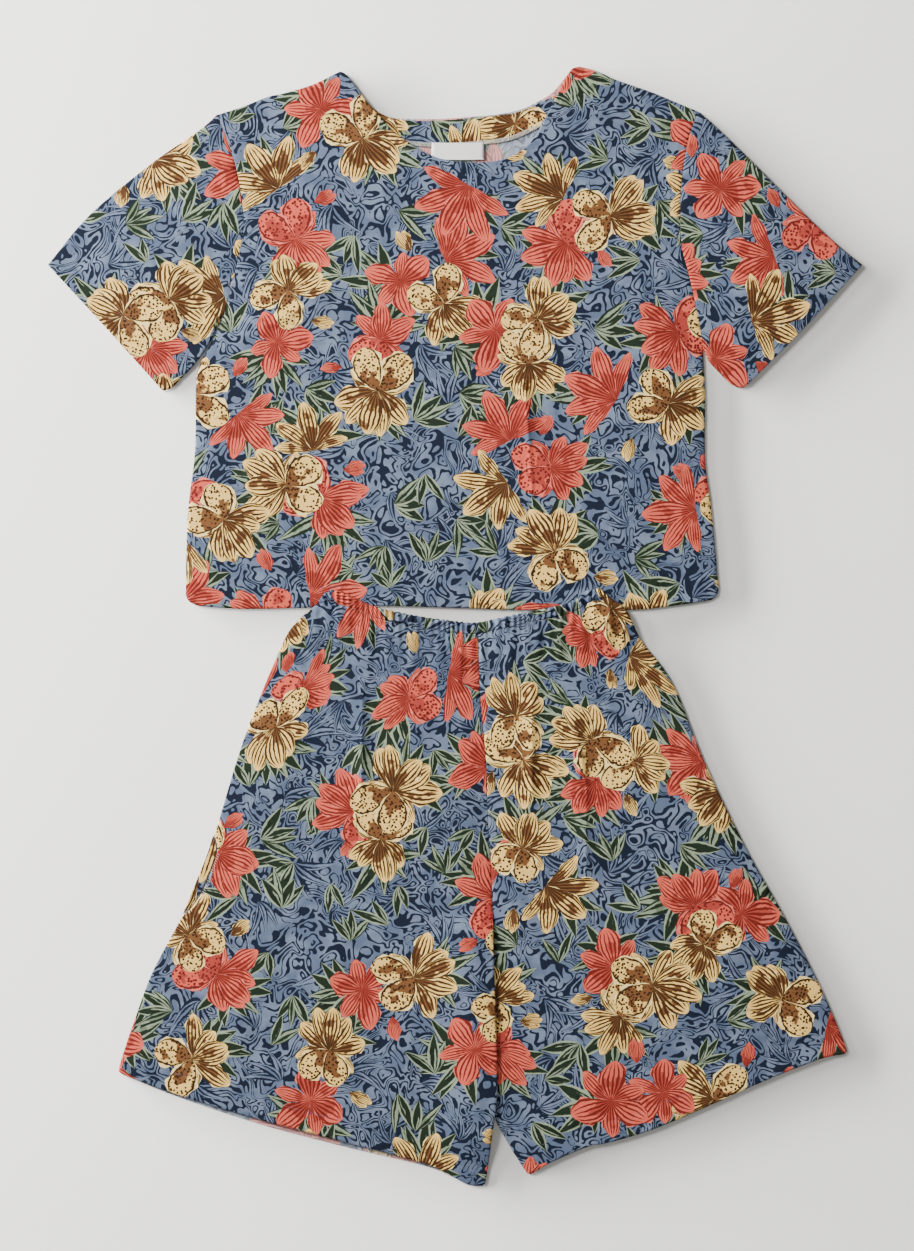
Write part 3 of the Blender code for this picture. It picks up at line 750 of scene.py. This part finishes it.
def stitched(name, lines, height, pitch=2.9, long=2.1, wide=0.45, turn=0.0, thread=THREAD,
             kind="stitches"):
    """Rows of sewing on a piece: each stitch is a small bar, laid along its line or across it."""
    places, ways = [], []
    for line in lines:
        run = run_of(line)
        where = np.arange(pitch / 2, run[-1], pitch)
        path = columns([line, height(line)])
        ahead, behind, place = (columns([np.interp(where + d, run, k) for k in path.T])
                                for d in (0.5, -0.5, 0))
        places.append(place)
        ways.append(np.arctan2(*(ahead - behind).T[1::-1]) + turn)
    places, ways = np.vstack(places), np.concatenate(ways)[:, None]
    corner = np.array([(-1, -1, -1), (1, -1, -1), (1, 1, -1), (-1, 1, -1), (-0.8, -0.6, 1), (0.8, -0.6, 1),
                       (0.8, 0.6, 1), (-0.8, 0.6, 1)]) * 0.5 * [long, wide, 0.3]
    x = places[:, :1] + corner[:, 0] * np.cos(ways) - corner[:, 1] * np.sin(ways)
    y = places[:, 1:2] + corner[:, 0] * np.sin(ways) + corner[:, 1] * np.cos(ways)
    z = places[:, 2:] + corner[:, 2] + 0.1
    sides = np.array([(3, 2, 1, 0), (4, 5, 6, 7), (0, 1, 5, 4), (1, 2, 6, 5), (2, 3, 7, 6), (3, 0, 4, 7)])
    faces = (np.arange(len(places))[:, None, None] * 8 + sides).reshape(-1, 4)
    mesh = bpy.data.meshes.new(f"{name}_{kind}")
    mesh.from_pydata((np.dstack([x, y, z]).reshape(-1, 3) * MM).tolist(), [], faces.tolist())
    mesh.materials.append(thread)
    piece = placed(mesh.name, mesh)
    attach(piece, "root")
    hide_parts(name)


def lift(plan, left=False):
    """Height of the waist's corners, which lie on the top, and of the left leg where it is on the right."""
    x, y = plan.T
    waist = WAIST_LIFT * smooth(y, -26, 8) * np.maximum(1 - smooth(x, -66, -20), smooth(x, 25, 64))
    leg = LEG_LIFT * smooth(x, -40, 27) * (1 - smooth(y, -309, -278)) * smooth(y, -548, -502)
    return waist + leg if left else waist


def top_outline(neck):
    """Outline of the top's front or back, from the hem's left corner anticlockwise."""
    up = [even(line)[::-1] for line in (SIDE_RIGHT, ARMHOLE_RIGHT, SHOULDER_RIGHT)]
    return ring_of(even(TOP_HEM), *up, even(neck, 3.0)[::-1], even(SHOULDER_LEFT)[::-1],
                   even(ARMHOLE_LEFT), even(SIDE_LEFT))


HEM_DEPTH, NECK_DEPTH, HEM_DIP, SEAM_DIP = 20.0, 6.0, 0.45, 0.4
SEAM_EDGE, HEM_EDGE = (1.1, 2.6), (0.7, 1.6)  # how far an edge drops, and over what radius


def top_front_z(plan):
    """Upper face of the top's front: the CAD's height, finer creases, seams and a stitched hem."""
    x, y = plan.T
    to_edge = nearest(plan, map(even, (SIDE_LEFT, SHOULDER_LEFT, SIDE_RIGHT, SHOULDER_RIGHT)))
    to_seam = np.minimum(to_edge, nearest(plan, map(even, (ARMHOLE_LEFT, ARMHOLE_RIGHT))))
    to_hem = distance(plan, even(TOP_HEM))
    to_neck = distance(plan, even(NECK_FRONT, 3.0))
    off_edge = smooth(to_seam, 0, 30) * smooth(y, 18, 110)
    away = np.hypot((x - 8) / 150, (y - 540) / 112)
    neck = NECK_RISE * (1 - smooth(away, 0.95, 1.5))
    raised = np.minimum(TOP_RISE + folds(x, y, TOP_FOLDS), HIGHEST_FOLD) * off_edge
    raised = np.maximum(raised, np.maximum(neck, ARMHOLE_RISE * smooth(y, 286, 330)))
    fine = folds(x, y, TOP_CREASES) + 0.35 * undulation(x, y, 70, 3) + 0.15 * undulation(x, y, 26, 4)
    raised += fine * smooth(to_seam, 0, 12) * smooth(to_hem, 0, 14)
    stitching = bell(to_hem - HEM_DEPTH, 1.3) + bell(to_neck - NECK_DEPTH, 1.2)
    dips = SEAM_DIP * bell(to_seam, 1.8) + HEM_DIP * stitching
    edges = turned_edge(np.minimum(to_hem, to_neck), *HEM_EDGE) + turned_edge(to_edge, *SEAM_EDGE)
    return FRONT_TOP + raised - dips - edges


def build_top():
    """Front and back of the top."""
    front = top_outline(NECK_FRONT)
    cut_piece("top_front", front, top_front_z, 249, FRONT_GRID, ["top_back"],
              creases=TOP_FOLDS + TOP_CREASES)
    stitched("top_front", [inset(even(TOP_HEM), HEM_DEPTH), inset(even(NECK_FRONT, 3.0), NECK_DEPTH, -1)],
             top_front_z)
    cut_piece("top_back", top_outline(NECK_BACK), level(LOWEST), 12, 30.0, ["floor"], face_down=True)


def sleeve_z(edges, cap, hem, seed, plan, low_side=False):
    """Outer face of a sleeve: both layers meet half way up along a half-round bend at its edges."""
    x, y = plan.T
    to_fold = nearest(plan, edges)
    to_cap, to_hem = distance(plan, cap), distance(plan, hem)
    half = 0.5 * SLEEVE_HEIGHT
    bend = np.sqrt(np.clip(1 - np.clip(1 - to_fold / half, 0, 1) ** 2, 0, 1))
    if low_side:
        return half - (half - LOWEST) * bend
    puff = SLEEVE_RISE * smooth(to_fold, 0, 70) * smooth(to_cap, 0, 60) * smooth(to_hem, -10, 40)
    creases = (folds(x, y, SLEEVE_FOLDS) + 0.4 * undulation(x, y, 60, seed)) * smooth(to_cap, 0, 25)
    rise = np.minimum(puff + creases * smooth(to_fold, 0, 16), 2.6)
    dips = SEAM_DIP * bell(to_cap, 1.8) + HEM_DIP * bell(to_hem - HEM_DEPTH, 1.3)
    return half + (half + rise) * bend - dips * bend


def sleeve(name, fold, under, hem, armhole, seed):
    """A sleeve as one tube: an upper and a lower sheet that meet along the fold and the underside."""
    side = np.sign(armhole[0][0])
    cap = even(armhole) + np.array([side * 0.12, 0])
    fold, under, hem = even(fold), even(under, 3.0), even(hem)
    outline = ring_of(cap, under, hem, fold[::-1])
    height = partial(sleeve_z, [fold, under], cap, hem, seed)
    sheets, levels = [], []
    for low_side, grid, creases in ((False, FRONT_GRID, SLEEVE_FOLDS), (True, 22.0, ())):
        design = printed_design(outline, seed + low_side)
        inner = inner_points(outline, grid, seed, None, creases)
        sheets.append(cut_sheet(outline, design, inner, face_down=low_side))
        levels.append(height(sheets[-1][0], low_side))
    plan, triangles, petals, design = joined(sheets)
    points = columns([plan, np.concatenate(levels)])
    piece = sheet_object(name, points, triangles, petals, design, plan)
    weld(piece.data, 0.02)
    declare(piece, name)
    stitched(name, [inset(hem, HEM_DEPTH, side)], height)


def weld(mesh, apart):
    """Join points of a mesh that lie within a distance in millimetres."""
    builder = bmesh.new()
    builder.from_mesh(mesh)
    bmesh.ops.remove_doubles(builder, verts=builder.verts, dist=apart * MM)
    builder.to_mesh(mesh)
    builder.free()
    mesh.shade_smooth()


LEGS = {  # side lines, inseam, hem and seed of the print, by True for the left leg
    True: ((ABOVE_POCKET, POCKET_MOUTH, BELOW_POCKET), INSEAM_LEFT, LEG_HEM_LEFT, 21),
    False: ((LEG_SIDE_RIGHT,), INSEAM_RIGHT, LEG_HEM_RIGHT, 22),
}
BACK_HEM = [(x, y - BACK_HEM_DROP * np.sin(np.pi * (x + 333) / 360)) for x, y in LEG_HEM_LEFT]
BACKS = {True: ((LEG_SIDE_LEFT,), INSEAM_LEFT, BACK_HEM, 23), False: LEGS[False][:3] + (24,)}
FINE_GRIDS = {True: ((-160, -40), (24, 30), 1.7), False: ((20, -40), (175, 34), 1.7)}


def leg_outline(left, panels=LEGS):
    """Outline of a leg panel, from the casing's outer corner."""
    side_lines, inseam, hem, _ = panels[left]
    foot = curve(CASING_FOOT)
    share = run_of(foot) / run_of(foot)[-1]
    centre = float(np.interp(CENTRE_SEAM[0][0], foot[:, 0], share))
    ends = (0, centre) if left else (centre, 1)
    top = at(foot, np.linspace(*ends, 60)) - np.array([0, 0.3])
    outer = ring_of(*map(even, side_lines))
    inner = np.vstack([even(CENTRE_SEAM), even(inseam)[1:]]) + np.array([-0.15 if left else 0.15, 0])
    bottom = even(hem)
    if left:
        return ring_of(outer[:-1], bottom, inner[::-1], top[::-1])
    return ring_of(outer[:-1], bottom[::-1], inner[::-1], top)


def gathers(x):
    """Height, 0 to 1, of the narrow, uneven waves that the elastic draws the cloth into."""
    warped = x + 2.2 * np.sin(x / 13.0) + 1.1 * np.sin(x / 5.9 + 1)
    tall = 0.72 + 0.28 * np.sin(x / 9.1 + 2)
    return (0.5 - 0.5 * np.cos(2 * np.pi * warped / 5.8)) * tall


def gathers_below(x, below):
    """The casing's waves run out into the legs; every other one goes on as a wider, longer one."""
    reach = np.maximum(15 + 9 * np.sin(x / 11.0) + 7 * np.sin(x / 5.1), 5)
    wide = 0.5 - 0.5 * np.cos(2 * np.pi * (x + 3.0 * np.sin(x / 17.0)) / 12.4)
    far = 0.9 * wide * np.exp(-(below / reach) / 2) * smooth(below, 0, 12)
    return gathers(x) * np.exp(-(below / 9.0)) + far


def leg_front_z(left, plan):
    """Upper face of a leg's front: gathers below the casing, folds, seams and a stitched hem."""
    side_lines, inseam, hem, _ = LEGS[left]
    foot = curve(CASING_FOOT)
    x, y = plan.T
    below = np.interp(x, *foot.T) - y
    to_side = nearest(plan, map(even, side_lines))
    to_centre, to_inseam, to_hem = (distance(plan, even(line)) for line in (CENTRE_SEAM, inseam, hem))
    to_edge = np.min([to_side, to_centre, to_inseam], axis=0)
    off_edge = smooth(to_edge, 0, 26) * smooth(below, 0, 25)
    pleats = 0.55 * (1 + np.sin(2 * np.pi * x / 24)) * smooth(below, 2, 14) * (1 - smooth(below, 30, 75))
    raised = np.minimum(SHORTS_RISE + folds(x, y, SHORTS_FOLDS) + pleats, HIGHEST_FOLD) * off_edge
    fine = folds(x, y, SHORTS_CREASES) + 0.4 * undulation(x, y, 80, 7) + 0.15 * undulation(x, y, 28, 8)
    raised += (fine * smooth(to_side, 0, 12) * smooth(to_inseam, 0, 12) * smooth(to_hem, 0, 14)
               * smooth(below, 0, 10))
    raised += 1.5 * gathers_below(x, np.clip(below, 0, None)) * smooth(to_side, 0, 6)
    dips = 0.7 * bell(to_centre, 1.8) + HEM_DIP * bell(to_hem - HEM_DEPTH, 1.3)
    edges = turned_edge(np.minimum(to_side, to_inseam), *SEAM_EDGE) + turned_edge(to_hem, *HEM_EDGE)
    return FRONT_TOP + raised - dips - edges + lift(plan, left)


def build_shorts():
    """Front and back of both legs; the left leg's back hangs lower than its front."""
    legs = [(left, side, partial(leg_front_z, left)) for left, side in ((True, "left"), (False, "right"))]
    for left, side, face in legs:
        cut_piece(f"shorts_front_{side}", leg_outline(left), face, LEGS[left][3], FRONT_GRID,
                  [f"shorts_back_{side}"], dense=FINE_GRIDS[left], gathered=True,
                  creases=SHORTS_FOLDS + SHORTS_CREASES)
    for left, side, face in legs:
        stitched(f"shorts_front_{side}", [inset(even(LEGS[left][2]), HEM_DEPTH)], face)
    for left, side, _ in legs:
        cut_piece(f"shorts_back_{side}", leg_outline(left, BACKS), lambda plan: LOWEST + lift(plan, left),
                  BACKS[left][3], 14.0, ["floor"], face_down=True)


FACING_NECK = [(-96, 529), (-72, 512), (-51, 506.5), (-18, 506), (14, 508.5), (45, 511.5), (67, 516),
               (104, 533)]
FACING_EDGE = even([(-86, 497), (-50, 483), (-18, 480), (24, 482), (60, 488), (100, 508)], 4)
LABEL = [(-24, 467.5), (3, 466.5), (29, 467), (28.5, 484), (3, 483.5), (-23, 484)]
NO_PRINT = np.array([[1e6, 1e6, 0, 1, 1, 0, GHOST]])  # one petal, far away


def facing_z(plan):
    """Upper face of the neck facing, which lies on the back and dips at its stitched lower edge."""
    to_edge = distance(plan, FACING_EDGE)
    return 2.3 - 0.3 * bell(to_edge - 4, 1.2) - turned_edge(to_edge, 0.5, 1.2)


def waistband(name, front):
    """Half of the elastic casing: the print runs on from the legs, and the cloth stands in waves."""
    foot, waist = even(CASING_FOOT, 1.8), even(WAIST, 1.8)
    centre = CENTRE_SEAM[0][0]
    low_end, high_end = ((centre, np.interp(centre, *line.T)) for line in (foot, waist))
    sheets = []
    for left in (True, False):
        lower, upper = (line[(line[:, 0] < centre) == left] for line in (foot, waist))
        ring = (ring_of(lower, [low_end], [high_end], upper[::-1]) if left else
                ring_of([low_end], lower, upper[::-1], [high_end]))
        design = printed_design(as_printed(leg_outline(left)), LEGS[left][3])
        inner = grid_points(ring.min(0), ring.max(0), 1.5, np.random.default_rng(3))
        inner = inner[inside(inner, ring)]
        inner = inner[distance(inner, closed(ring)) > 0.6]
        sheets.append(cut_sheet(ring, design, inner, as_laid, not front))
    plan, triangles, petals, design = joined(sheets)
    x, y = plan.T
    to_foot, to_waist = distance(plan, foot), distance(plan, waist)
    up = to_foot / (to_foot + to_waist + 1e-6)
    wave = gathers(x) * smooth(np.minimum(x - foot[0, 0], foot[-1, 0] - x), 0, 8)
    crest = 1.3 * wave - 0.4 if front else -0.4
    z = LOWEST + 0.6 * wave
    if front:
        z = FRONT_TOP + 2.4 * wave * (0.75 + 0.25 * np.sin(np.pi * up)) - turned_edge(to_waist, 1.3, 3.0)
    points = columns([x, y + crest * smooth(up, 0.3, 1), z + lift(plan)])
    piece = sheet_object(name, points, triangles, petals, design, as_printed(plan))
    weld(piece.data, 0.01)
    declare(piece, name)


def build_small_pieces():
    """Facing, label, casing, and the strip of pocket in the left leg's side seam."""
    facing = ring_of(FACING_EDGE, even(FACING_NECK, 4)[::-1])
    cut_piece("top_neck_facing", facing, facing_z, 51, 5.0, ["top_back"])
    stitched("top_neck_facing", [inset(FACING_EDGE, 1.8)], facing_z, 1.3, 4.2, 0.6, 1.35, SERGING)
    label = ring_of(even(LABEL[:3], 3), even(LABEL[3:], 3))
    cut_piece("top_label", label, lambda plan: 2.95 + 0.25 * np.sin(plan[:, 0] / 13 + 1), 5, 4.0,
              ["top_neck_facing", "top_back"], design=NO_PRINT, flat=(52, 17), slot="label", inks=[SATIN],
              wall=0.3)
    waistband("shorts_waistband_front", True)
    waistband("shorts_waistband_back", False)
    # The pocket's edge is turned out: a cream part of the print shows, beside a dark slit.
    strip = ring_of(even(POCKET_INNER, 3) - np.array([1.3, 0]), even(POCKET_OUTER, 3)[::-1])
    design = np.array([(-236, -196, -1.94, 62, 12, 0.3, CREAM), (-256, -240, -1.98, 60, 11, -0.3, CREAM)])
    cut_piece("shorts_pocket_left", strip, level(2.1), 5, 4.0, ["shorts_back_left"], design=design,
              flat=(88, 11), slot="pocket")
    tack = even(POCKET_MOUTH[1:4], 3) + np.array([2.2, 0])
    stitched("shorts_front_left", [tack], partial(leg_front_z, True), 2.4, 2.6, 0.5, 1.2, SERGING, "tacks")


build_top()
build_small_pieces()
sleeve("top_sleeve_left", SLEEVE_LEFT_FOLD, SLEEVE_LEFT_UNDER, SLEEVE_LEFT_HEM, ARMHOLE_LEFT, 31)
sleeve("top_sleeve_right", SLEEVE_RIGHT_FOLD, SLEEVE_RIGHT_UNDER, SLEEVE_RIGHT_HEM, ARMHOLE_RIGHT, 41)
build_shorts()


def build_studio():
    """Pale surface, soft light from the upper left, and evenly lit surroundings."""
    half, under = 6.0, -0.3 * MM
    mesh = bpy.data.meshes.new("floor")
    mesh.from_pydata([(x * half, y * half, under) for x, y in ((-1, -1), (1, -1), (1, 1), (-1, 1))], [],
                     [(0, 1, 2, 3)])
    floor = placed("floor", mesh)
    # Matt paper: a calm, slightly warm light grey that takes soft shadows.
    made = new_material("paper_backdrop")[0]
    feed(made.node_tree.nodes["Principled BSDF"],
         {"Base Color": rgb("CBCAC5"), "Roughness": 0.9, "Specular IOR Level": 0.1})
    mesh.materials.append(made)
    # Area lights: name, place and size in metres, strength. The low one lights the floor alone and
    # gives it the long soft shadows.
    lights = [("key", (-2.1, 1.4, 1.6), (0.9, 0.9), 170), ("fill", (0.6, -0.4, 3.2), (2.5, 2.5), 20),
              ("low_window", (-4.7, 1.4, 0.20), (6.0, 0.46), 15000),
              ("window", (-4.5, 2.0, 1.1), (0.6, 0.6), 390)]
    for name, spot, size, strength in lights:
        light = bpy.data.lights.new(name, "AREA")
        light.energy, light.shape = strength, "RECTANGLE"
        light.size, light.size_y = size
        lamp = placed(name, light)
        lamp.location = spot
        lamp.rotation_euler = (-Vector(spot)).to_track_quat("-Z", "Y").to_euler()
        if name == "low_window":
            lamp.light_linking.receiver_collection = bpy.data.collections.new("lit_by_low_window")
            lamp.light_linking.receiver_collection.objects.link(floor)
    world = bpy.data.worlds.new("studio")
    world.use_nodes = True
    feed(world.node_tree.nodes["Background"], {"Color": (1, 1, 1, 1), "Strength": 0.27})
    bpy.context.scene.world = world


def build_camera():
    """Straight above the set; one pixel of the photo's 914 by 1251 is one millimetre at the surface."""
    photo_height, middle = 1251 * MM, (2 * MM, 1.5 * MM)
    away, sensor = 3.0, 24.0
    data = bpy.data.cameras.new("above")
    data.sensor_fit = "VERTICAL"
    data.sensor_height = sensor
    data.lens = away * sensor / photo_height
    camera = placed("above", data)
    camera.location = (*middle, away)
    bpy.context.scene.camera = camera


build_studio()
build_camera()
